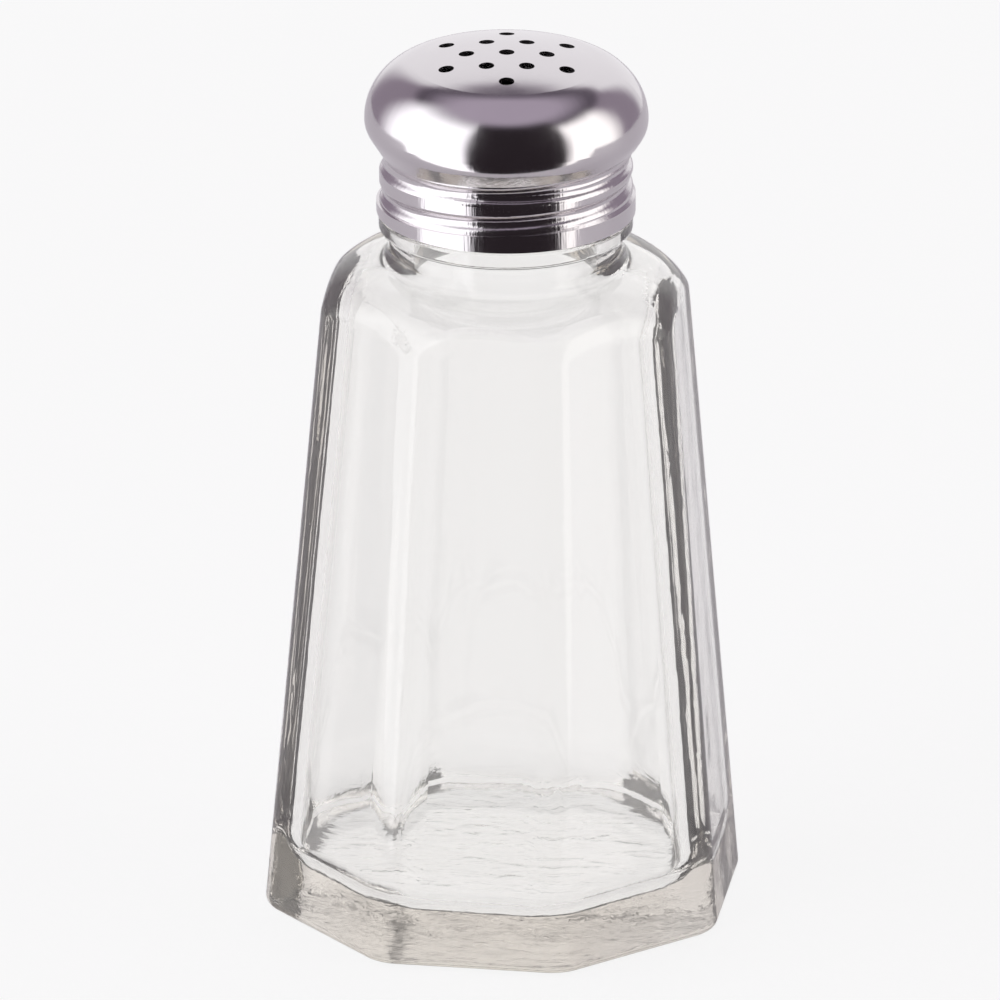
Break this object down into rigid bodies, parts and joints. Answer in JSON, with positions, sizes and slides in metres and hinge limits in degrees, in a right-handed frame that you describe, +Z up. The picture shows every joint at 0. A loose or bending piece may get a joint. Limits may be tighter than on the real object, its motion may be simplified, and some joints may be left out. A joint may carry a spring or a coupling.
{
  "type": "table shaker",
  "caption": "Tapering panelled clear-glass table shaker for spice or salt, with a perforated, domed steel screw cap.",
  "frame": {"origin": "centre of the flat base, on the surface it stands on", "axes": "+Z up along the axis of the jar and cap; one flat panel faces -Y"},
  "size_m": [0.0488, 0.0488, 0.0952],
  "materials": {
    "clear_glass": "clear, fire-polished",
    "stainless_steel": "satin, drawn and rolled"
  },
  "bodies": {
    "jar": {"glass_jar": "clear_glass"},
    "cap": {"cap": "stainless_steel"}
  },
  "joints": [
    {"name": "cap_lift", "type": "slide", "parent": "jar", "child": "cap", "axis": [0, 0, 1], "range_m": [0, 0.03]}
  ]
}
